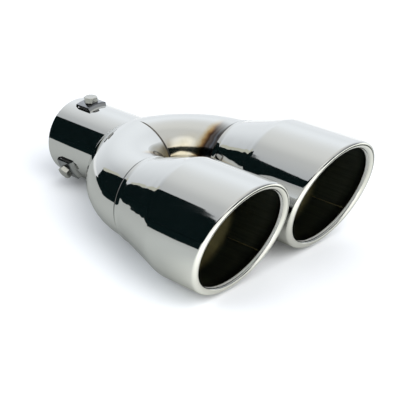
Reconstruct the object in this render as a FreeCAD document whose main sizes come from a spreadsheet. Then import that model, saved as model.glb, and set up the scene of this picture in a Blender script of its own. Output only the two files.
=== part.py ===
"""Twin-outlet exhaust tip: an inlet pipe with three clamp bolts, two mitred elbows and two slash-cut tips.

Frame: the origin is the centre of the inlet's open end, +Y runs along the pipe towards the outlets,
+Z is up and +X is the right-hand tip when looking along +Y. All sizes are in millimetres and degrees.
"""

import FreeCAD
import Part
import Sketcher
import math
import os

# Driving dimensions, each written once and kept as a cell of the sheet
DIMENSIONS = {
    # inlet pipe, which slips over the car's own tailpipe
    "inlet_od": 61.0,
    "tube_wall": 1.2,
    # two bent elbows
    "elbow_od": 63.5,
    "elbow_wall": 1.2,
    "bend_radius": 64.0,
    "bend_end_y": 137.5,
    "stub_length": 8.0,
    "tip_spacing": 94.0,
    # the tips: neck, cone and straight shell with a slanted mouth
    "tip_wall": 1.2,
    "neck_clearance": 0.3,
    "neck_overlap": 3.0,
    "neck_length": 3.0,
    "shell_od": 89.0,
    "cone_end_y": 177.0,
    "cone_bend_radius": 14.0,
    "neck_bend_radius": 6.0,
    "mouth_y": 224.0,
    "mouth_slant": 19.7,
    "lip_radius": 2.85,
    "lip_return": 3.0,
    # clamp lugs pressed out of the inlet pipe
    "lug_station": 18.8,
    "lug_arc": 32.0,
    "lug_flat": 13.6,
    "lug_rise": 2.8,
    "lug_slope": 58.0,
    "lug_window": 15.4,
    "lug_hole": 6.6,
    # clamp bolts and the nut plates held under the lugs
    "bolt_diameter": 6.0,
    "bolt_seat_gap": 0.1,
    "bolt_head_flats": 10.0,
    "bolt_head_height": 4.0,
    "bolt_head_chamfer": 0.7,
    "bolt_tip_chamfer": 0.8,
    "bore_clearance": 0.3,
    "nut_arc": 29.0,
    "nut_length": 11.6,
    "nut_seat_gap": 0.05,
    "nut_clearance": 0.05,
}

# The lugs, evenly spaced round the pipe, each with its own bolt and nut
LUGS = ("top", "right", "left")


class Size:
    """A size that holds its number and the sheet expression that gives that number."""

    def __init__(self, value, text):
        self.value = value
        self.text = text

    def __add__(self, other):
        other = as_size(other)
        return Size(self.value + other.value, f"({self.text} + {other.text})")

    def __sub__(self, other):
        other = as_size(other)
        return Size(self.value - other.value, f"({self.text} - {other.text})")

    def __mul__(self, other):
        other = as_size(other)
        return Size(self.value * other.value, f"({self.text} * {other.text})")

    def __truediv__(self, other):
        other = as_size(other)
        return Size(self.value / other.value, f"({self.text} / {other.text})")

    def __neg__(self):
        return Size(-self.value, f"(0 - {self.text})")


def as_size(number):
    return number if isinstance(number, Size) else Size(float(number), repr(float(number)))


def tangent(angle):
    return Size(math.tan(math.radians(angle.value)), f"tan({angle.text})")


def cosine(angle):
    return Size(math.cos(math.radians(angle.value)), f"cos({angle.text})")


def root(square):
    return Size(math.sqrt(square.value), f"sqrt({square.text})")


ZERO = as_size(0.0)
X_AXIS = FreeCAD.Vector(1, 0, 0)
Y_AXIS = FreeCAD.Vector(0, 1, 0)
Z_AXIS = FreeCAD.Vector(0, 0, 1)

doc = FreeCAD.newDocument("exhaust_tip")


def make_sheet():
    sheet = doc.addObject("Spreadsheet::Sheet", "dims")
    for row, (alias, number) in enumerate(DIMENSIONS.items(), start=1):
        sheet.set(f"A{row}", alias)
        sheet.set(f"B{row}", str(number))
        sheet.setAlias(f"B{row}", alias)
    doc.recompute()
    return sheet


sheet = make_sheet()


def size(alias):
    return Size(float(sheet.get(alias)), f"dims.{alias}")


def bind(thing, path, dimension):
    thing.setExpression(path, as_size(dimension).text)


# Sketch helpers

def new_body(label):
    body = doc.addObject("PartDesign::Body", label)
    body.Label = label
    return body


def plane(body, role):
    return next(f for f in body.Origin.OriginFeatures if f.Role == role)


def new_sketch(body, name, role, offset=(ZERO, ZERO, ZERO), turn=None):
    """A sketch on one of the body's origin planes, moved by offset in the sketch's own directions.

    turn is an optional (axis, angle) that tilts the sketch about one of its own directions.
    """
    sketch = body.newObject("Sketcher::SketchObject", name)
    sketch.AttachmentSupport = [(plane(body, role), "")]
    sketch.MapMode = "FlatFace"
    rotation = FreeCAD.Rotation(turn[0], turn[1].value) if turn else FreeCAD.Rotation()
    base = FreeCAD.Vector(*(part.value for part in offset))
    sketch.AttachmentOffset = FreeCAD.Placement(base, rotation)
    for letter, part in zip("xyz", offset):
        bind(sketch, f"AttachmentOffset.Base.{letter}", part)
    if turn:
        bind(sketch, "AttachmentOffset.Rotation.Angle", turn[1])
    return sketch


def pin_point(sketch, geometry, corner, x, y):
    """Ties one point of the sketch to the origin by two named distances."""
    for kind, dimension in (("DistanceX", x), ("DistanceY", y)):
        if dimension is ZERO:
            line = -2 if kind == "DistanceX" else -1
            sketch.addConstraint(Sketcher.Constraint("PointOnObject", geometry, corner, line))
            continue
        ends = (-1, 1, geometry, corner) if dimension.value >= 0 else (geometry, corner, -1, 1)
        number = sketch.addConstraint(Sketcher.Constraint(kind, *ends, abs(dimension.value)))
        bind(sketch, f"Constraints[{number}]", dimension if dimension.value >= 0 else -dimension)


def add_outline(sketch, corners):
    """A closed outline of straight lines through corners, each a pair of sizes."""
    count = len(corners)
    points = [FreeCAD.Vector(x.value, y.value, 0) for x, y in corners]
    first = sketch.GeometryCount
    for i in range(count):
        sketch.addGeometry(Part.LineSegment(points[i], points[(i + 1) % count]), False)
    for i in range(count):
        following = first + (i + 1) % count
        sketch.addConstraint(Sketcher.Constraint("Coincident", first + i, 2, following, 1))
    for i, (x, y) in enumerate(corners):
        pin_point(sketch, first + i, 1, x, y)


def add_circle(sketch, x, y, radius):
    centre = FreeCAD.Vector(x.value, y.value, 0)
    number = sketch.addGeometry(Part.Circle(centre, Z_AXIS, radius.value), False)
    pin_point(sketch, number, 3, x, y)
    constraint = sketch.addConstraint(Sketcher.Constraint("Radius", number, radius.value))
    bind(sketch, f"Constraints[{constraint}]", radius)


def add_polygon(sketch, sides, across_flats):
    """A regular polygon about the sketch's origin, with one corner on the horizontal axis."""
    corner_radius = across_flats / 2 / cosine(as_size(180 / sides))
    corners = []
    for i in range(sides):
        turn = math.radians(360 / sides * i)
        corners.append(FreeCAD.Vector(math.cos(turn), math.sin(turn), 0) * corner_radius.value)
    for i in range(sides):
        sketch.addGeometry(Part.LineSegment(corners[i], corners[(i + 1) % sides]), False)
    guide = sketch.addGeometry(Part.Circle(FreeCAD.Vector(), Z_AXIS, corner_radius.value), True)
    sketch.addConstraint(Sketcher.Constraint("Coincident", guide, 3, -1, 1))
    for i in range(sides):
        sketch.addConstraint(Sketcher.Constraint("Coincident", i, 2, (i + 1) % sides, 1))
        sketch.addConstraint(Sketcher.Constraint("PointOnObject", i, 1, guide))
        if i:
            sketch.addConstraint(Sketcher.Constraint("Equal", 0, i))
    sketch.addConstraint(Sketcher.Constraint("PointOnObject", 0, 1, -1))
    constraint = sketch.addConstraint(Sketcher.Constraint("Radius", guide, corner_radius.value))
    bind(sketch, f"Constraints[{constraint}]", corner_radius)


# Feature helpers

def feature(body, kind, name, sketch, **settings):
    made = body.newObject(f"PartDesign::{kind}", name)
    made.Profile = sketch
    for key, setting in settings.items():
        if isinstance(setting, Size):
            setattr(made, key, setting.value)
            bind(made, key, setting)
        else:
            setattr(made, key, setting)
    sketch.Visibility = False
    doc.recompute()
    return made


def ring_edges(shape, y, radius):
    """Names of the shape's circular edges of that radius about an axis along Y, at that y."""
    names = []
    for number, edge in enumerate(shape.Edges, start=1):
        curve = edge.Curve
        if not isinstance(curve, Part.Circle) or abs(curve.Radius - radius) > 1e-4:
            continue
        if abs(curve.Center.y - y) < 1e-4 and abs(curve.Axis.y) > 0.999:
            names.append(f"Edge{number}")
    return names


def round_edges(body, name, base, edges, radius):
    made = body.newObject("PartDesign::Fillet", name)
    made.Base = (base, edges)
    made.Radius = radius.value
    bind(made, "Radius", radius)
    doc.recompute()
    return made


# Sizes worked out from the driving dimensions

inlet_radius = size("inlet_od") / 2
bore_radius = inlet_radius - size("tube_wall")
elbow_radius = size("elbow_od") / 2
elbow_bore = elbow_radius - size("elbow_wall")
half_spacing = size("tip_spacing") / 2
bend_centre_x = half_spacing - size("bend_radius")
bend_end_y = size("bend_end_y")
# where an elbow's centre line reaches the middle plane
junction_y = bend_end_y - root(size("bend_radius") * size("bend_radius") - bend_centre_x * bend_centre_x)
shell_radius = size("shell_od") / 2
shell_bore = shell_radius - size("tip_wall")
neck_y = bend_end_y - size("neck_overlap")
neck_bore = elbow_radius + size("neck_clearance")
neck_radius = neck_bore + size("tip_wall")
lug_top = inlet_radius + size("lug_rise")
lug_underside = lug_top - size("tube_wall")


# The elbows

def bend_section(body, name):
    """A sketch across the pipe at the end of the bend, with its origin on the bend's own axis."""
    return new_sketch(body, name, "XZ_Plane", (bend_centre_x, ZERO, -bend_end_y))


def cut_at_middle_plane(body):
    """Trims everything beyond the middle plane, which leaves the mitre face."""
    reach = size("bend_radius") + elbow_radius
    sketch = new_sketch(body, "mitre_sketch", "XY_Plane")
    add_outline(sketch, [(ZERO, ZERO), (ZERO, bend_end_y), (-reach, bend_end_y), (-reach, ZERO)])
    feature(body, "Pocket", "mitre", sketch, Type="ThroughAll", Midplane=True)


def sweep_bend(body, sketch):
    return feature(
        body, "Revolution", "bend", sketch,
        ReferenceAxis=(sketch, ["V_Axis"]), Angle=90.0, Reversed=True,
    )


def make_elbow(label):
    body = new_body(label)
    section = bend_section(body, "tube_section")
    add_circle(section, size("bend_radius"), ZERO, elbow_radius)
    add_circle(section, size("bend_radius"), ZERO, elbow_bore)
    sweep_bend(body, section)
    stub_section = bend_section(body, "stub_section")
    add_circle(stub_section, size("bend_radius"), ZERO, elbow_radius)
    add_circle(stub_section, size("bend_radius"), ZERO, elbow_bore)
    feature(body, "Pad", "stub", stub_section, Length=size("stub_length"), Reversed=True)
    cut_at_middle_plane(body)
    opening = new_sketch(body, "inlet_opening_sketch", "XZ_Plane")
    add_circle(opening, ZERO, ZERO, bore_radius)
    feature(body, "Pocket", "inlet_opening", opening, Length=junction_y)
    return body


def make_elbow_envelope():
    """The right elbow's outside as a solid, which shapes what is welded to it."""
    body = new_body("elbow_envelope")
    section = bend_section(body, "solid_section")
    add_circle(section, size("bend_radius"), ZERO, elbow_radius)
    sweep_bend(body, section)
    stub_section = bend_section(body, "solid_stub_section")
    add_circle(stub_section, size("bend_radius"), ZERO, elbow_radius)
    feature(body, "Pad", "solid_stub", stub_section, Length=size("stub_length"), Reversed=True)
    cut_at_middle_plane(body)
    return body


def mirror(source, label):
    made = doc.addObject("Part::Mirroring", label)
    made.Label = label
    made.Source = source
    made.Normal = X_AXIS
    return made


# The inlet pipe

def turned_about_pipe(body, kind, name, sketch, arc):
    """Turns a section about the pipe's own axis, half of the arc to each side."""
    return feature(
        body, kind, name, sketch, ReferenceAxis=(sketch, ["H_Axis"]), Angle=arc, Midplane=True,
    )


def add_lug(body):
    """One clamp lug: a window in the wall, the strip pushed out over it and the bolt's hole."""
    station = size("lug_station")
    half_window = size("lug_window") / 2
    inside = bore_radius - size("tube_wall")
    outside = inlet_radius + size("tube_wall")
    window = new_sketch(body, "lug_window_sketch", "YZ_Plane")
    add_outline(window, [
        (station - half_window, inside), (station + half_window, inside),
        (station + half_window, outside), (station - half_window, outside),
    ])
    cut = turned_about_pipe(body, "Groove", "lug_window", window, size("lug_arc"))
    half_flat = size("lug_flat") / 2
    half_underside = half_flat - size("tube_wall") * tangent(size("lug_slope") / 2)
    slope = tangent(size("lug_slope"))
    run = (lug_top - bore_radius) / slope
    inner_run = (lug_underside - bore_radius) / slope
    strip = new_sketch(body, "lug_strip_sketch", "YZ_Plane")
    add_outline(strip, [
        (station - half_flat - run, bore_radius), (station - half_flat, lug_top),
        (station + half_flat, lug_top), (station + half_flat + run, bore_radius),
        (station + half_underside + inner_run, bore_radius), (station + half_underside, lug_underside),
        (station - half_underside, lug_underside), (station - half_underside - inner_run, bore_radius),
    ])
    raised = turned_about_pipe(body, "Revolution", "lug_strip", strip, size("lug_arc"))
    hole = new_sketch(body, "lug_hole_sketch", "XY_Plane", (ZERO, ZERO, lug_underside - size("tube_wall")))
    add_circle(hole, ZERO, station, size("lug_hole") / 2)
    drilled = feature(body, "Pocket", "lug_hole", hole, Length=size("tube_wall") * 3, Reversed=True)
    return [cut, raised, drilled]


def make_inlet_pipe(envelopes):
    body = new_body("inlet_blank")
    outside = new_sketch(body, "outside_sketch", "XZ_Plane")
    add_circle(outside, ZERO, ZERO, inlet_radius)
    feature(body, "Pad", "outside", outside, Length=junction_y, Reversed=True)
    lug = add_lug(body)
    pattern = body.newObject("PartDesign::PolarPattern", "lug_pattern")
    pattern.Originals = lug
    pattern.Axis = (plane(body, "Y_Axis"), [""])
    pattern.Angle = 360.0
    pattern.Occurrences = len(LUGS)
    body.Tip = pattern
    doc.recompute()
    bore = new_sketch(body, "bore_sketch", "XZ_Plane")
    add_circle(bore, ZERO, ZERO, bore_radius)
    feature(body, "Pocket", "bore", bore, Type="ThroughAll", Midplane=True)
    trimmed = body
    for number, envelope in enumerate(envelopes, start=1):
        cut = doc.addObject("Part::Cut", f"saddle_{number}")
        cut.Base = trimmed
        cut.Tool = envelope
        trimmed = cut
    trimmed.Label = "inlet_pipe"
    return trimmed


# The tips

def add_wall(body):
    """Neck, cone and straight shell, turned from one constant-thickness section."""
    end_y = size("mouth_y") + shell_radius * tangent(size("mouth_slant")) + size("lip_radius")
    neck_end = neck_y + size("neck_length")
    cone_end = size("cone_end_y")
    section = new_sketch(body, "wall_sketch", "YZ_Plane")
    add_outline(section, [
        (neck_y, neck_bore), (neck_y, neck_radius), (neck_end, neck_radius),
        (cone_end, shell_radius), (end_y, shell_radius), (end_y, shell_bore),
        (cone_end, shell_bore), (neck_end, neck_bore),
    ])
    turned = feature(
        body, "Revolution", "wall", section, ReferenceAxis=(section, ["H_Axis"]), Angle=360.0,
    )
    bends = [
        ("cone_bend_outside", cone_end, shell_radius, size("cone_bend_radius") + size("tip_wall")),
        ("cone_bend_inside", cone_end, shell_bore, size("cone_bend_radius")),
        ("neck_bend_outside", neck_end, neck_radius, size("neck_bend_radius")),
        ("neck_bend_inside", neck_end, neck_bore, size("neck_bend_radius") + size("tip_wall")),
    ]
    for name, y, radius, bend in bends:
        edges = ring_edges(turned.Shape, y.value, radius.value)
        turned = round_edges(body, name, turned, edges, bend)
    return end_y


def cut_mouth(body, end_y):
    """The slash cut: everything in front of the slanted mouth plane is removed."""
    slant = tangent(size("mouth_slant"))
    reach = shell_radius + size("lip_radius")
    far_y = end_y + size("lip_radius")
    sketch = new_sketch(body, "mouth_sketch", "YZ_Plane")
    add_outline(sketch, [
        (size("mouth_y") - reach * slant, -reach), (far_y, -reach),
        (far_y, reach), (size("mouth_y") + reach * slant, reach),
    ])
    feature(body, "Pocket", "mouth", sketch, Type="ThroughAll", Midplane=True)


def make_lip(name):
    """The rolled lip: a half turn of the sheet with a short return inside the mouth.

    The section is turned about the tip's axis and then slid along that axis in proportion to height,
    so the ring keeps to the shell's round wall and follows the slanted mouth.
    """
    outer = size("lip_radius").value
    inner = outer - size("tip_wall").value
    back = size("lip_return").value
    ring = shell_radius.value - outer
    front_y = size("mouth_y").value

    def point(along, height):
        return FreeCAD.Vector(0, front_y + along, ring + height)

    edges = [
        Part.Arc(point(0, outer), point(outer, 0), point(0, -outer)).toShape(),
        Part.makeLine(point(0, -outer), point(-back, -outer)),
        Part.makeLine(point(-back, -outer), point(-back, -inner)),
        Part.makeLine(point(-back, -inner), point(0, -inner)),
        Part.Arc(point(0, -inner), point(inner, 0), point(0, inner)).toShape(),
        Part.makeLine(point(0, inner), point(0, outer)),
    ]
    section = Part.Face(Part.Wire(edges))
    straight = section.revolve(FreeCAD.Vector(), Y_AXIS, 360)
    slide = FreeCAD.Matrix()
    slide.A23 = math.tan(math.radians(size("mouth_slant").value))
    lip = doc.addObject("Part::Feature", name)
    lip.Shape = straight.transformGeometry(slide)
    return lip


def make_tip(label, side):
    wall = new_body(f"{label}_wall")
    end_y = add_wall(wall)
    cut_mouth(wall, end_y)
    tip = doc.addObject("Part::Fuse", label)
    tip.Label = label
    tip.Base = wall
    tip.Tool = make_lip(f"{label}_lip")
    bind(tip, "Placement.Base.x", half_spacing * side)
    return tip


def make_neck_weld(label, envelope):
    """The fillet bead that closes the step between the right elbow and its tip's neck."""
    body = new_body(f"{label}_blank")
    leg = neck_radius - elbow_radius
    root_radius = elbow_radius - size("elbow_wall") / 2
    back = neck_y - leg * 1.4
    section = new_sketch(body, "bead_sketch", "YZ_Plane")
    add_outline(section, [
        (back, root_radius), (neck_y, root_radius), (neck_y, neck_radius),
        (neck_y - leg * 0.6, elbow_radius + leg * 0.75), (back, elbow_radius),
    ])
    feature(body, "Revolution", "bead", section, ReferenceAxis=(section, ["H_Axis"]), Angle=360.0)
    bind(body, "Placement.Base.x", half_spacing)
    weld = doc.addObject("Part::Cut", label)
    weld.Label = label
    weld.Base = body
    weld.Tool = envelope
    return weld


# Bolts and nuts, drawn standing on +Z and turned about the pipe's axis to their lug

def place_at_lug(body, name):
    angle = 360.0 * LUGS.index(name) / len(LUGS)
    body.Placement = FreeCAD.Placement(FreeCAD.Vector(), FreeCAD.Rotation(Y_AXIS, angle))
    bind(body, "Placement.Base.y", size("lug_station"))


def make_nut(name):
    """A nut plate curved to the pipe, held under its lug, with its bore cleared for the bolt."""
    body = new_body(f"nut_{name}")
    base = bore_radius + size("bore_clearance")
    seat = lug_underside - size("nut_seat_gap")
    half = size("nut_length") / 2
    section = new_sketch(body, "plate_sketch", "YZ_Plane")
    add_outline(section, [(-half, base), (half, base), (half, seat), (-half, seat)])
    turned_about_pipe(body, "Revolution", "plate", section, size("nut_arc"))
    bore = new_sketch(body, "bore_sketch", "XY_Plane")
    add_circle(bore, ZERO, ZERO, size("bolt_diameter") / 2 + size("nut_clearance"))
    feature(body, "Pocket", "bore", bore, Type="ThroughAll", Reversed=True)
    place_at_lug(body, name)
    return body


def make_bolt(name):
    """A short hexagon-head bolt, run home on its lug with its point just clear of the inlet's bore."""
    body = new_body(f"bolt_{name}")
    point = bore_radius + size("bore_clearance")
    under_head = lug_top + size("bolt_seat_gap")
    shank_radius = size("bolt_diameter") / 2
    tip = size("bolt_tip_chamfer")
    shank = new_sketch(body, "shank_sketch", "XZ_Plane")
    add_outline(shank, [
        (ZERO, point), (shank_radius - tip, point), (shank_radius, point + tip),
        (shank_radius, under_head), (ZERO, under_head),
    ])
    feature(body, "Revolution", "shank", shank, ReferenceAxis=(shank, ["V_Axis"]), Angle=360.0)
    head = new_sketch(body, "head_sketch", "XY_Plane", (ZERO, ZERO, under_head))
    add_polygon(head, 6, size("bolt_head_flats"))
    feature(body, "Pad", "head", head, Length=size("bolt_head_height"))
    add_head_crown(body, under_head + size("bolt_head_height"))
    place_at_lug(body, name)
    return body


def add_head_crown(body, top):
    """Turns the head's top corners off at thirty degrees, as on a forged bolt."""
    flat_radius = size("bolt_head_flats") / 2 - size("bolt_head_chamfer") / 2
    outside = size("bolt_head_flats")
    drop = (outside - flat_radius) * tangent(as_size(30.0))
    crown = new_sketch(body, "crown_sketch", "XZ_Plane")
    add_outline(crown, [(flat_radius, top), (outside, top), (outside, top - drop)])
    feature(body, "Groove", "crown", crown, ReferenceAxis=(crown, ["V_Axis"]), Angle=360.0)


def build():
    right_elbow = make_elbow("right_elbow")
    envelope = make_elbow_envelope()
    inlet = make_inlet_pipe([envelope, mirror(envelope, "elbow_envelope_left")])
    right_weld = make_neck_weld("right_neck_weld", envelope)
    parts = [inlet, right_elbow, mirror(right_elbow, "left_elbow")]
    parts += [right_weld, mirror(right_weld, "left_neck_weld")]
    parts += [make_tip("right_tip", 1), make_tip("left_tip", -1)]
    for name in LUGS:
        parts.append(make_bolt(name))
        parts.append(make_nut(name))
    doc.recompute()
    return parts


def check(parts):
    for thing in doc.Objects:
        if "Invalid" in thing.State or "Error" in thing.State:
            raise RuntimeError(f"{thing.Label} failed: {thing.State}")
    for part in parts:
        if part.Shape.isNull() or not part.Shape.isValid():
            raise RuntimeError(f"{part.Label} has no valid shape")


def write(parts):
    os.makedirs("parts", exist_ok=True)
    for part in parts:
        part.Shape.exportStep(f"parts/{part.Label}.step")


parts = build()
check(parts)
write(parts)
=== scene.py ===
"""Twin-outlet exhaust tip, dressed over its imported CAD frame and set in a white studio."""

import math

import bpy
from mathutils import Matrix, Vector


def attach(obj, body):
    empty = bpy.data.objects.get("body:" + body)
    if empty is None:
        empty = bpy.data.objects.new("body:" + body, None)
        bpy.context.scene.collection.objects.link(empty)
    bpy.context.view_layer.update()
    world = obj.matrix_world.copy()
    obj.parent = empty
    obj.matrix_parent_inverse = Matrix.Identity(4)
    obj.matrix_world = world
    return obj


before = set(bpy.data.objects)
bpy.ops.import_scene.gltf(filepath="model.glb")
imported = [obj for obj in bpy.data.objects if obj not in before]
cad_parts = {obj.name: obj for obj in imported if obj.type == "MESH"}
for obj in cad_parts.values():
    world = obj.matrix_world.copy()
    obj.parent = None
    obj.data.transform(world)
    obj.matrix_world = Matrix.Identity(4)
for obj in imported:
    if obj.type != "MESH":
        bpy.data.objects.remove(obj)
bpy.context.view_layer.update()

scene = bpy.context.scene
scene.view_settings.view_transform = "Standard"

# Sizes repeated from the CAD, in metres
TIP_X = 0.047
BEND_X = -0.017
BEND_Y = 0.1375
BEND_R = 0.064
ELBOW_OUT = 0.03175
INLET_OUT = 0.0305
NECK_Y = 0.1345
CONE_Y = 0.1375
CONE_LENGTH = 0.0395
NECK_BORE = 0.03205
CONE_FLARE = 0.01125
MOUTH_Y = 0.224
MOUTH_SLOPE = math.tan(math.radians(19.7))

# The inner seam's place along and round each shell
SEAM_START, SEAM_END = 0.1795, 0.2095
SEAM_TURN = math.radians(-142.0)

# Sections of the two weld lines: across and proud of the surface, in millimetres
MM = 0.001
MITRE_BEAD = (
    (-0.85, -0.06), (-0.7, 0.07), (-0.35, 0.2), (0.0, 0.25), (0.35, 0.2), (0.7, 0.07), (0.85, -0.06),
)
SEAM_BEAD = (
    (-0.5, -0.06), (-0.42, 0.05), (-0.2, 0.13), (0.0, 0.15), (0.2, 0.13), (0.42, 0.05), (0.5, -0.06),
)

# The floor touches the undersides of the inlet pipe and the tips
FLOOR_Z = -0.0305
FLOOR_SLOPE = -14.0 / 179.0
FLOOR_REACH = 8.0

# Studio cards: angle round the part, then lower and upper angle of sight, in degrees
CARD_DISTANCE = 4.0
CARD_Y = 0.12
CARD_STEP = 2
SCREEN_EDGES = (
    (100, 8, 32), (90, 12, 38), (80, 18, 42), (68, 24, 44), (47, 33, 46), (25, 28, 45), (5, 18, 43),
    (-8, 4, 42), (-16, -7, 41), (-25, -7, 38), (-35, -7, 35), (-43, -7, 33.5), (-45.5, -7, 34.7),
    (-48.5, -7, 36), (-50, -7, 37), (-52.5, -7, 39.5), (-56.5, -7, 42), (-58, -7, 42), (-61, -7, 41),
    (-65, -7, 38), (-73, -7, 31), (-78, -7, 24), (-81.5, -4, 18), (-82.5, 8, 17), (-83.6, 13, 16.4),
    (-84.6, 15, 16),
)
STRIP_EDGES = (
    (-70, 34, 34.5), (-74, 30, 35), (-78, 24, 33), (-82, 17.4, 26), (-84.6, 16, 21), (-86.5, 16, 18),
)

# Dark sheet on the floor: angle round the part, then near and far edge in metres
SHEET_LIFT = 0.002
SHEET_EDGES = (
    (-80, 0.70, 4.2), (-72, 0.46, 4.2), (-64, 0.38, 4.2), (-54, 0.31, 4.2), (-44, 0.26, 4.2),
    (-36, 0.205, 4.2), (-29, 0.195, 4.2), (-24, 0.22, 4.2), (-18, 0.34, 4.2), (-17, 0.38, 0.9),
    (-10, 0.35, 0.6), (-2, 0.31, 0.46), (5, 0.30, 0.36),
)

# Colours of the steel, outside and in the bores; the bore colour is dull steel darkened further as painted
# shade
POLISHED = (0.66, 0.665, 0.655)
INNER = (0.10, 0.095, 0.075)


class Graph:
    """Shorthand for building a material's node tree."""

    def __init__(self, tree):
        self.nodes = tree.nodes
        self.links = tree.links

    def node(self, kind, **settings):
        made = self.nodes.new(kind)
        for key, value in settings.items():
            setattr(made, key, value)
        return made

    def feed(self, socket, value):
        """Set a socket to a number or a colour, or link another node's output to it."""
        if isinstance(value, (int, float)):
            socket.default_value = value
        elif isinstance(value, tuple):
            socket.default_value = value if len(value) == len(socket.default_value) else (*value, 1.0)
        else:
            self.links.new(value, socket)

    def math(self, operation, a, b=0.0, c=0.0):
        made = self.node("ShaderNodeMath", operation=operation)
        for socket, value in zip(made.inputs, (a, b, c)):
            self.feed(socket, value)
        return made.outputs[0]

    def step(self, value, low, high):
        """Smooth rise from 0 at low to 1 at high."""
        made = self.node("ShaderNodeMapRange", interpolation_type="SMOOTHSTEP")
        for name, number in (("Value", value), ("From Min", low), ("From Max", high)):
            self.feed(made.inputs[name], number)
        return made.outputs["Result"]

    def fall(self, value, low, high):
        """Smooth fall from 1 at low to 0 at high."""
        return self.math("SUBTRACT", 1.0, self.step(value, low, high))

    def span(self, value, low, high, edge):
        """One between low and high, with soft edges."""
        return self.math("MULTIPLY", self.step(value, low - edge, low), self.fall(value, high, high + edge))

    def mix(self, factor, a, b):
        made = self.node("ShaderNodeMix", data_type="RGBA")
        self.feed(made.inputs[0], factor)
        self.feed(made.inputs[6], a)
        self.feed(made.inputs[7], b)
        return made.outputs[2]

    def blend(self, factor, a, b):
        made = self.node("ShaderNodeMix", data_type="FLOAT")
        self.feed(made.inputs[0], factor)
        self.feed(made.inputs[2], a)
        self.feed(made.inputs[3], b)
        return made.outputs[0]

    def noise(self, vector, scale, detail=2.0, rough=0.5):
        made = self.node("ShaderNodeTexNoise")
        self.feed(made.inputs["Vector"], vector)
        self.feed(made.inputs["Scale"], scale)
        self.feed(made.inputs["Detail"], detail)
        self.feed(made.inputs["Roughness"], rough)
        return made.outputs["Fac"]

    def bump(self, height, distance, normal=None):
        made = self.node("ShaderNodeBump")
        self.feed(made.inputs["Strength"], 1.0)
        self.feed(made.inputs["Distance"], distance)
        self.feed(made.inputs["Height"], height)
        if normal is not None:
            self.feed(made.inputs["Normal"], normal)
        return made.outputs["Normal"]

    def combine(self, x, y, z):
        made = self.node("ShaderNodeCombineXYZ")
        for socket, value in zip(made.inputs, (x, y, z)):
            self.feed(socket, value)
        return made.outputs[0]

    def along(self, vector, way):
        """How far a vector reaches in a direction."""
        made = self.node("ShaderNodeVectorMath", operation="DOT_PRODUCT")
        self.feed(made.inputs[0], vector)
        self.feed(made.inputs[1], way)
        return made.outputs["Value"]


class Metal(Graph):
    """A metallic material with the object's own coordinates ready to use."""

    def __init__(self, name):
        self.material = bpy.data.materials.new(name)
        self.material.use_nodes = True
        super().__init__(self.material.node_tree)
        self.shader = self.nodes["Principled BSDF"]
        self.shader.inputs["Metallic"].default_value = 1.0
        self.place = self.node("ShaderNodeTexCoord").outputs["Object"]
        split = self.node("ShaderNodeSeparateXYZ")
        self.links.new(self.place, split.inputs[0])
        self.x, self.y, self.z = split.outputs
        self.out_x = self.math("ABSOLUTE", self.x)

    def set(self, **sockets):
        for name, value in sockets.items():
            self.feed(self.shader.inputs[name.replace("_", " ")], value)

    def distance(self, a, b):
        return self.math("SQRT", self.math("ADD", self.math("MULTIPLY", a, a), self.math("MULTIPLY", b, b)))

    def facing(self, across, height):
        """Positive where the surface faces away from an axis along Y, negative where it faces it."""
        normal = self.node("ShaderNodeSeparateXYZ")
        self.links.new(self.node("ShaderNodeNewGeometry").outputs["Normal"], normal.inputs[0])
        return self.math("ADD", self.math("MULTIPLY", normal.outputs[0], across),
                         self.math("MULTIPLY", normal.outputs[2], height))

    def polish_waves(self, ripple=None):
        """The unevenness that buffing leaves in a mirror finish, and a forming ripple where asked."""
        broad = self.noise(self.place, 45.0, 1.0)
        fine = self.noise(self.place, 210.0, 2.0)
        normal = self.bump(fine, 0.000003, self.bump(broad, 0.00003))
        if ripple is None:
            return normal
        return self.bump(self.math("MULTIPLY", self.noise(self.place, 75.0, 1.0), ripple), 0.00022, normal)

    def polish_roughness(self):
        cloud = self.noise(self.place, 30.0, 3.0)
        return self.blend(cloud, 0.02, 0.06)

    def brush_lines(self, across, radius):
        """Fine lines along Y on the inside of a tube round an axis along Y."""
        round_bore = self.math("MULTIPLY", self.math("ARCTAN2", self.z, across), radius)
        stretched = self.combine(round_bore, self.math("MULTIPLY", self.y, 0.03), 0.0)
        return self.noise(stretched, 700.0, 3.0, 0.6)


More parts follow.
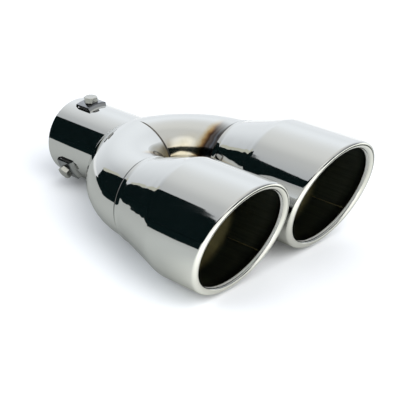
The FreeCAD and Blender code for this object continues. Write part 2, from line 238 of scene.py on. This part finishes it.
def tip_steel():
    """Mirror finish outside, brushed in the bore and darkened there as painted shade, with a satin roll at
    the mouth painted pale as a painted highlight.
    """
    metal = Metal("polished_tip")
    across = metal.math("MULTIPLY", metal.math("SUBTRACT", metal.out_x, TIP_X), metal.math("SIGN", metal.x))
    radius = metal.distance(across, metal.z)
    inward = metal.math("LESS_THAN", metal.facing(across, metal.z), 0.0)
    wide = metal.step(radius, 0.0412, 0.0418)
    inside = metal.math("MULTIPLY", inward, metal.math("MAXIMUM", wide, metal.fall(metal.y, 0.188, 0.190)))
    # the bore: brushed in the shell and darkened as painted shade, with a darker painted shadow just behind
    # the mouth; straw coloured in the cone, and painted lighter there as painted light from the mouth
    lines = metal.brush_lines(across, 0.043)
    mouth = metal.math("SUBTRACT", metal.y, metal.math("MULTIPLY_ADD", metal.z, MOUTH_SLOPE, MOUTH_Y))
    shaded_bore = metal.mix(lines, (0.06, 0.072, 0.062), (0.19, 0.215, 0.185))
    shaded_bore = metal.mix(metal.step(mouth, -0.016, -0.005), shaded_bore, (0.03, 0.035, 0.03))
    straw = metal.mix(lines, (0.34, 0.31, 0.19), (0.50, 0.46, 0.30))
    inner = metal.mix(metal.fall(metal.y, 0.174, 0.181), shaded_bore, straw)
    # the lip: a satin roll round the mouth, painted pale and made part diffuse as a painted highlight, with
    # a dark painted shadow where it turns back into the bore
    past_roll = metal.fall(mouth, -0.0019, -0.0011)
    roll = metal.math("MULTIPLY", inward, metal.math("SUBTRACT", metal.fall(mouth, 0.0, 0.0012), past_roll))
    outer = metal.mix(roll, POLISHED, (0.86, 0.86, 0.80))
    outer = metal.mix(metal.math("MULTIPLY", inward, past_roll), outer, (0.04, 0.042, 0.036))
    metal.set(Base_Color=metal.mix(inside, outer, inner))
    metal.set(Metallic=metal.math("MULTIPLY_ADD", roll, -0.7, 1.0))
    finish = metal.blend(roll, metal.polish_roughness(), 0.4)
    metal.set(Roughness=metal.blend(inside, finish, metal.blend(lines, 0.32, 0.5)))
    outside = metal.math("SUBTRACT", 1.0, inside)
    cone = metal.math("MULTIPLY", metal.span(metal.y, 0.142, 0.168, 0.006), outside)
    metal.set(Normal=metal.bump(metal.math("MULTIPLY", lines, inside), 0.00006, metal.polish_waves(cone)))
    return metal.material


def elbow_steel():
    """Mirror finish with heat tint by the neck weld and straw tint in the crotch, where a painted golden
    reflection and highlight lie down the inside of the bend; the bore darkened as painted shade.
    """
    metal = Metal("polished_elbow")
    run = metal.math("SUBTRACT", metal.y, BEND_Y)
    ring = metal.math("SUBTRACT", metal.distance(metal.math("SUBTRACT", metal.out_x, BEND_X), run), BEND_R)
    along = metal.math("SUBTRACT", metal.out_x, TIP_X)
    straight = metal.math("GREATER_THAN", run, 0.0)
    radius = metal.distance(metal.blend(straight, ring, along), metal.z)
    inside = metal.fall(radius, 0.0310, 0.0313)
    # heat tint beside the neck weld, strongest on the side that faces the other branch
    uneven = metal.math("SUBTRACT", metal.noise(metal.place, 120.0, 3.0), 0.5)
    wobble = metal.math("MULTIPLY", uneven, 0.005)
    back = metal.math("ADD", metal.math("SUBTRACT", NECK_Y, metal.y), wobble)
    strength = metal.math("MULTIPLY", metal.fall(back, 0.012, 0.020), hot_side(metal))
    # straw tint beside the mitre seam; down the inside of the bend a straw tone that is a painted golden
    # reflection and highlight
    seam = metal.math("MULTIPLY", metal.fall(metal.out_x, 0.001, 0.010), metal.step(metal.y, 0.096, 0.112))
    saddle = metal.math("MULTIPLY", metal.fall(ring, -0.029, -0.015), metal.step(metal.y, 0.100, 0.112))
    cloud = metal.step(metal.noise(metal.place, 60.0, 3.0), 0.30, 0.70)
    colour = metal.mix(metal.math("MULTIPLY", seam, cloud), POLISHED, (0.50, 0.38, 0.20))
    straw = metal.mix(metal.noise(metal.place, 130.0, 2.0), (0.50, 0.43, 0.27), (0.86, 0.81, 0.66))
    colour = metal.mix(metal.math("MULTIPLY", saddle, 0.85), colour, straw)
    colour = metal.mix(strength, colour, tint_ramp(metal, back, 0.018))
    # the thin shadow line where the elbow enters the neck
    groove = metal.step(metal.math("ADD", metal.y, metal.math("MULTIPLY", wobble, 0.12)), 0.1313, 0.1322)
    colour = metal.mix(groove, colour, (0.08, 0.08, 0.08))
    # the bore colour is darkened as painted shade
    metal.set(Base_Color=metal.mix(inside, colour, INNER))
    dull = metal.blend(saddle, metal.polish_roughness(), 0.13)
    metal.set(Roughness=metal.blend(inside, dull, 0.4))
    metal.set(Normal=metal.polish_waves())
    return metal.material


def hot_side(metal):
    """Where the neck welds are heat tinted: towards the other branch, and further round on the left."""
    left = metal.math("LESS_THAN", metal.x, 0.0)
    return metal.blend(left, metal.fall(metal.out_x, 0.028, 0.042), metal.fall(metal.out_x, 0.028, 0.048))


def tint_ramp(metal, back, reach):
    """Colours of heated stainless steel: a painted shadow by the bead, then blue-grey, brown, straw and
    untinted metal.
    """
    ramp = metal.node("ShaderNodeValToRGB")
    metal.links.new(metal.math("DIVIDE", back, reach), ramp.inputs[0])
    stops = ramp.color_ramp.elements
    # the darkest stops beside the bead are a painted shadow of the weld
    stops[0].position, stops[0].color = 0.0, (0.03, 0.025, 0.025, 1)
    stops[1].position, stops[1].color = 1.0, (*POLISHED, 1)
    colours = (
        (0.16, (0.05, 0.045, 0.045)), (0.26, (0.13, 0.14, 0.16)), (0.34, (0.07, 0.06, 0.06)),
        (0.44, (0.11, 0.095, 0.09)), (0.53, (0.05, 0.028, 0.018)), (0.62, (0.17, 0.09, 0.04)),
        (0.72, (0.42, 0.28, 0.13)), (0.86, (0.60, 0.52, 0.36)),
    )
    for position, colour in colours:
        stop = stops.new(position)
        stop.color = (*colour, 1)
    return ramp.outputs[0]


def inlet_steel():
    """Mirror finish outside, scuffed and darkened as painted shade on the raised lugs, and brushed and
    darkened as painted shade in the bore.
    """
    metal = Metal("polished_inlet")
    radius = metal.distance(metal.x, metal.z)
    inside = metal.fall(radius, 0.0296, 0.0300)
    lines = metal.brush_lines(metal.x, 0.03)
    strap = metal.step(radius, 0.0322, 0.0330)
    scuff_and_shade = metal.noise(metal.place, 420.0, 3.0)
    # the raised lugs: rough scuffed steel, darkened as painted shade
    outer = metal.mix(strap, POLISHED, metal.mix(scuff_and_shade, (0.16, 0.165, 0.18), (0.40, 0.41, 0.43)))
    # the bore: brushed, darkened as painted shade
    inner = metal.mix(lines, (0.10, 0.097, 0.085), (0.22, 0.21, 0.19))
    metal.set(Base_Color=metal.mix(inside, outer, inner))
    dull = metal.blend(strap, metal.polish_roughness(), metal.blend(scuff_and_shade, 0.12, 0.26))
    metal.set(Roughness=metal.blend(inside, dull, metal.blend(lines, 0.3, 0.45)))
    metal.set(Normal=metal.bump(metal.math("MULTIPLY", lines, inside), 0.00005, metal.polish_waves()))
    return metal.material


def weld_steel():
    metal = Metal("heat_tinted_weld")
    # crotch side: dark heat tint; elsewhere the bead is darkened as painted shade for the shadowed gap at
    # the neck's edge
    crotch = hot_side(metal)
    cloud = metal.noise(metal.place, 260.0, 3.0)
    hot = metal.mix(cloud, (0.05, 0.035, 0.03), (0.20, 0.17, 0.16))
    shaded_bead = metal.mix(cloud, (0.10, 0.10, 0.10), (0.26, 0.26, 0.255))
    metal.set(Base_Color=metal.mix(crotch, shaded_bead, hot))
    metal.set(Roughness=metal.blend(cloud, 0.12, 0.3))
    metal.set(Normal=metal.bump(metal.noise(metal.place, 900.0, 2.0), 0.00006))
    return metal.material


def bolt_steel():
    metal = Metal("bolt_steel")
    cloud = metal.noise(metal.place, 500.0, 3.0)
    metal.set(Base_Color=metal.mix(cloud, (0.42, 0.42, 0.39), (0.58, 0.58, 0.55)))
    metal.set(Roughness=metal.blend(cloud, 0.12, 0.28))
    metal.set(Normal=metal.bump(cloud, 0.00003))
    return metal.material


def nut_steel():
    metal = Metal("nut_steel")
    cloud = metal.noise(metal.place, 400.0, 3.0)
    # near black as painted shade inside the lug slots
    metal.set(Base_Color=metal.mix(cloud, (0.05, 0.05, 0.05), (0.12, 0.12, 0.115)))
    metal.set(Roughness=metal.blend(cloud, 0.35, 0.5))
    metal.set(Normal=metal.bump(cloud, 0.00004))
    return metal.material


def dress_nodes():
    """Give every CAD node the finish that the first or last word of its name asks for."""
    ends = {"tip": tip_steel(), "elbow": elbow_steel(), "pipe": inlet_steel(), "weld": weld_steel()}
    starts = {"bolt": bolt_steel(), "nut": nut_steel()}
    for name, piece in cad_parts.items():
        finish = starts.get(name.split("_")[0]) or ends[name.split("_")[-1]]
        piece.data.materials.clear()
        piece.data.materials.append(finish)


def add_piece(name, verts, faces, material):
    """A piece of the visual model that the CAD doesn't have."""
    mesh = bpy.data.meshes.new(name)
    mesh.from_pydata(verts, [], faces)
    mesh.shade_smooth()
    mesh.materials.append(material)
    piece = bpy.data.objects.new(name, mesh)
    scene.collection.objects.link(piece)
    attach(piece, "root")


def grid_faces(rows, columns, closed):
    """Faces of a grid of points, joined end to end where it is closed."""
    faces = []
    for i in range(rows if closed else rows - 1):
        for j in range(columns - 1):
            a, b = i * columns + j, ((i + 1) % rows) * columns + j
            faces.append((a, a + 1, b + 1, b))
    return faces


def junction_point(radius, tube, turn):
    """Where a pipe of that radius meets an elbow of that tube radius, at an angle round the pipe."""
    x, z = radius * math.cos(turn), radius * math.sin(turn)
    reach = BEND_R + math.sqrt(max(tube * tube - z * z, 0.0))
    return Vector((x, BEND_Y - math.sqrt(reach * reach - (abs(x) - BEND_X) ** 2), z))


def add_inlet_weld():
    """The polished weld at the foot of the inlet pipe: a ball rolled along pipe and elbows."""
    ball, proud = 0.0036, 0.00004
    steps, arc = 360, 10
    verts = []
    for i in range(steps):
        turn = 2 * math.pi * i / steps
        centre = junction_point(INLET_OUT + ball, ELBOW_OUT + ball, turn)
        side = 1.0 if centre.x >= 0 else -1.0
        hub = Vector((BEND_X * side, BEND_Y, 0.0))
        spoke = Vector((centre.x - hub.x, centre.y - hub.y, 0.0)).normalized()
        core = hub + spoke * BEND_R
        first = -Vector((math.cos(turn), 0.0, math.sin(turn)))
        last = (core - centre).normalized()
        for j in range(arc + 1):
            way = first.slerp(last, j / arc)
            verts.append(centre + way * (ball + proud))
    add_piece("inlet_weld", verts, grid_faces(steps, arc + 1, True), inlet_weld_steel())


def add_mitre_weld():
    """The thin weld line where the two elbows meet, over the top and down the crotch."""
    verts, count = [], 160
    for i in range(count):
        turn = math.radians(-90 + 180 * i / (count - 1))
        width = min(1.0, 0.15 + 6 * math.cos(turn))
        for side, rise in MITRE_BEAD:
            tube, x = ELBOW_OUT + min(rise, rise * width) * MM, side * width * MM
            reach = BEND_R - tube * math.cos(turn)
            y = BEND_Y - math.sqrt(reach * reach - (abs(x) - BEND_X) ** 2)
            verts.append(Vector((x, y, tube * math.sin(turn))))
    add_piece("mitre_weld", verts, grid_faces(count, len(MITRE_BEAD), False), mitre_steel())


def mitre_steel():
    metal = Metal("mitre_weld")
    cloud = metal.noise(metal.place, 300.0, 3.0)
    metal.set(Base_Color=metal.mix(cloud, (0.05, 0.045, 0.04), (0.22, 0.20, 0.17)))
    metal.set(Roughness=metal.blend(cloud, 0.15, 0.3))
    metal.set(Normal=metal.bump(cloud, 0.00005))
    return metal.material


def tip_bore(y):
    """Inside radius of a tip along its length."""
    part = min(max((y - CONE_Y) / CONE_LENGTH, 0.0), 1.0)
    return NECK_BORE + CONE_FLARE * part


def add_tip_seam(name, tip_x, material):
    """The lengthwise seam of a rolled shell, ground nearly flush inside."""
    across = Vector((-math.sin(SEAM_TURN), 0.0, math.cos(SEAM_TURN)))
    out = Vector((math.cos(SEAM_TURN), 0.0, math.sin(SEAM_TURN)))
    verts, count = [], 40
    for i in range(count):
        y = SEAM_START + (SEAM_END - SEAM_START) * i / (count - 1)
        foot = Vector((tip_x, y, 0.0)) + out * tip_bore(y)
        verts += [foot + across * (side * MM) - out * (rise * MM) for side, rise in SEAM_BEAD]
    add_piece(name, verts, grid_faces(count, len(SEAM_BEAD), False), material)


def seam_steel():
    metal = Metal("inner_seam")
    grain = metal.noise(metal.place, 900.0, 2.0)
    metal.set(Base_Color=metal.mix(grain, (0.40, 0.38, 0.28), (0.62, 0.60, 0.46)))
    metal.set(Roughness=metal.blend(grain, 0.25, 0.4))
    metal.set(Normal=metal.bump(grain, 0.00005))
    return metal.material


def inlet_weld_steel():
    metal = Metal("polished_weld")
    buffed = metal.noise(metal.place, 160.0, 2.0)
    metal.set(Base_Color=metal.mix(buffed, (0.62, 0.625, 0.62), (0.80, 0.805, 0.795)))
    metal.set(Roughness=metal.blend(buffed, 0.40, 0.60))
    metal.set(Normal=metal.bump(metal.noise(metal.place, 170.0, 1.0), 0.00006))
    return metal.material


def add_camera():
    """The camera that was fitted to points measured in the photograph."""
    turn, tilt, roll = (math.radians(a) for a in (-134.67, -25.28, -1.25))
    place = Vector((0.57895, 0.72449, 0.37445))
    look = Vector((math.cos(tilt) * math.cos(turn), math.cos(tilt) * math.sin(turn), math.sin(tilt)))
    right = look.cross(Vector((0, 0, 1))).normalized()
    up = right.cross(look)
    right, up = right * math.cos(roll) + up * math.sin(roll), up * math.cos(roll) - right * math.sin(roll)
    lens = bpy.data.cameras.new("camera")
    lens.sensor_width = 36.0
    lens.lens = 110.31
    lens.clip_start = 0.01
    camera = bpy.data.objects.new("camera", lens)
    scene.collection.objects.link(camera)
    camera.matrix_world = Matrix.Translation(place) @ Matrix((right, up, -look)).transposed().to_4x4()
    scene.camera = camera


def direction(turn, tilt):
    """Unit vector at an angle round Z and an angle above the horizon, in degrees."""
    turn, tilt = math.radians(turn), math.radians(tilt)
    return (math.cos(tilt) * math.cos(turn), math.cos(tilt) * math.sin(turn), math.sin(tilt))


def floor_height(y):
    return FLOOR_Z + y * FLOOR_SLOPE


def stage_mesh(name, verts, faces, material):
    """A piece of the studio, which isn't part of the model."""
    mesh = bpy.data.meshes.new(name)
    mesh.from_pydata(verts, [], faces)
    mesh.materials.append(material)
    piece = bpy.data.objects.new(name, mesh)
    scene.collection.objects.link(piece)
    return piece


def add_floor():
    """A pale floor under the part; where the steel mirrors it, grey as painted shade, brighter behind the
    part, and with a painted glow ahead.
    """
    material = bpy.data.materials.new("floor")
    material.use_nodes = True
    graph = Graph(material.node_tree)
    shader = graph.nodes["Principled BSDF"]
    mirrored = graph.node("ShaderNodeLightPath").outputs["Is Glossy Ray"]
    place = graph.node("ShaderNodeTexCoord").outputs["Object"]
    behind = graph.step(graph.along(place, direction(-150, 0)), 0.10, 0.32)
    bright = graph.step(graph.along(place, direction(80, 0)), 0.16, 0.30)
    lit = graph.mix(behind, (0.475, 0.48, 0.447), (0.98, 0.97, 0.94))
    lit = graph.mix(bright, lit, (1.0, 0.985, 0.88))
    graph.feed(shader.inputs["Base Color"], graph.mix(mirrored, (0.95, 0.95, 0.95), lit))
    glow = graph.math("MULTIPLY", bright, 0.32)
    graph.feed(shader.inputs["Emission Strength"], graph.math("MULTIPLY", mirrored, glow))
    shader.inputs["Emission Color"].default_value = (1.0, 0.985, 0.86, 1)
    shader.inputs["Roughness"].default_value = 0.9
    shader.inputs["Specular IOR Level"].default_value = 0.0
    corners = ((-1, -1), (1, -1), (1, 1), (-1, 1))
    verts = [(x * FLOOR_REACH, y * FLOOR_REACH, floor_height(y * FLOOR_REACH)) for x, y in corners]
    stage_mesh("floor", verts, [(0, 1, 2, 3)], material)


def card_material(name, colour, glow=None):
    material = bpy.data.materials.new(name)
    material.use_nodes = True
    shader = material.node_tree.nodes["Principled BSDF"]
    shader.inputs["Base Color"].default_value = (*colour, 1)
    shader.inputs["Roughness"].default_value = 1.0
    shader.inputs["Specular IOR Level"].default_value = 0.0
    if glow:
        shader.inputs["Emission Color"].default_value = (*glow, 1)
        shader.inputs["Emission Strength"].default_value = 1.0
    return material


def ribbon(name, rows, material):
    """A strip of faces between pairs of points, seen in reflections alone."""
    verts = [point for pair in rows for point in pair]
    faces = [(i, i + 2, i + 3, i + 1) for i in range(0, len(verts) - 2, 2)]
    card = stage_mesh(name, verts, faces, material)
    card.visible_camera = False
    card.visible_diffuse = False
    card.visible_shadow = False


def card_row(turn, low, top):
    """Lower and upper point of a standing card at an angle round the part."""
    across, along, _ = direction(turn, 0)
    x, y = CARD_DISTANCE * across, CARD_Y + CARD_DISTANCE * along
    return [(x, y, CARD_DISTANCE * math.tan(math.radians(tilt))) for tilt in (low, top)]


def add_dark_screen(material):
    """The black screens that the polished steel mirrors on the inlet's side and over the front."""
    rows = []
    for start, end in zip(SCREEN_EDGES, SCREEN_EDGES[1:]):
        count = max(1, int(abs(end[0] - start[0]) / CARD_STEP))
        for i in range(count + 1):
            rows.append(card_row(*(a + (b - a) * i / count for a, b in zip(start, end))))
    ribbon("dark_screen", rows, material)


def add_pale_strip():
    """The ivory line above the dark bands on the cones and the right elbow."""
    rows = [card_row(*edge) for edge in STRIP_EDGES]
    ribbon("pale_strip", rows, card_material("pale_card", (0.0, 0.0, 0.0), (0.62, 0.62, 0.53)))


def add_dark_sheet(material):
    """The foot of the dark screens, which carries the bands down to the floor."""
    rows = []
    for turn, near, far in SHEET_EDGES:
        across, along, _ = direction(turn, 0)
        rows.append([(reach * across, reach * along, floor_height(reach * along) + SHEET_LIFT)
                     for reach in (near, far)])
    ribbon("dark_sheet", rows, material)


def add_cards():
    dark = card_material("dark_card", (0.004, 0.009, 0.009))
    add_dark_screen(dark)
    add_pale_strip()
    add_dark_sheet(dark)


def light_world():
    """Soft white light all round; the steel mirrors walls that grow brighter behind the part."""
    world = bpy.data.worlds.new("studio")
    scene.world = world
    world.use_nodes = True
    graph = Graph(world.node_tree)
    sky = graph.nodes["Background"]
    gaze = graph.node("ShaderNodeTexCoord").outputs["Generated"]

    def toward(turn, tilt, low, high):
        return graph.step(graph.along(gaze, direction(turn, tilt)), low, high)

    wall = graph.blend(toward(-150, 0, 0.05, 0.95), 0.60, 1.10)
    front = toward(42, 14, 0.70, 0.84)
    aside = toward(122, 8, 0.60, 0.88)
    height = toward(0, 90, 0.50, 1.0)
    level = graph.blend(aside, graph.blend(height, wall, 0.80), 0.34)
    level = graph.math("MULTIPLY_ADD", toward(-125, 50, 0.80, 0.97), 0.14, level)
    level = graph.math("MULTIPLY_ADD", toward(38, 54, 0.90, 0.985), 0.45, level)
    level = graph.blend(front, level, 1.35)
    tone = graph.mix(height, (0.95, 0.99, 1.03), (1.0, 1.0, 0.96))
    tone = graph.mix(front, tone, (1.0, 0.99, 0.94))
    mirrored = graph.node("ShaderNodeLightPath").outputs["Is Glossy Ray"]
    graph.feed(sky.inputs["Color"], graph.mix(mirrored, (0.95, 0.99, 1.05), tone))
    graph.feed(sky.inputs["Strength"], graph.blend(mirrored, 0.98, level))


def add_lamp(name, size, energy, place, aim):
    """A square lamp that the steel doesn't mirror."""
    lamp = bpy.data.lights.new(name, "AREA")
    lamp.shape = "RECTANGLE"
    lamp.size, lamp.size_y = size, size
    lamp.energy = energy
    holder = bpy.data.objects.new(name, lamp)
    scene.collection.objects.link(holder)
    holder.location = place
    holder.rotation_euler = (aim - place).to_track_quat("-Z", "Y").to_euler()
    holder.visible_glossy = False
    return lamp


def add_lamps():
    """A soft key light from ahead, and a weak fill for the near side's shadow."""
    aim = Vector((0.0, 0.15, 0.0))
    add_lamp("softbox", 1.3, 14.0, aim + Vector(direction(88, 48)) * 1.6, aim)
    fill = add_lamp("fill", 0.16, 0.05, Vector((0.36, 0.14, 0.24)), Vector((0.125, 0.185, -0.04)))
    fill.spread = math.radians(62)
    fill.color = (0.86, 0.94, 1.0)


dress_nodes()
add_inlet_weld()
add_mitre_weld()
inner_seam = seam_steel()
add_tip_seam("right_tip_seam", TIP_X, inner_seam)
add_tip_seam("left_tip_seam", -TIP_X, inner_seam)
add_camera()
add_floor()
add_cards()
light_world()
add_lamps()
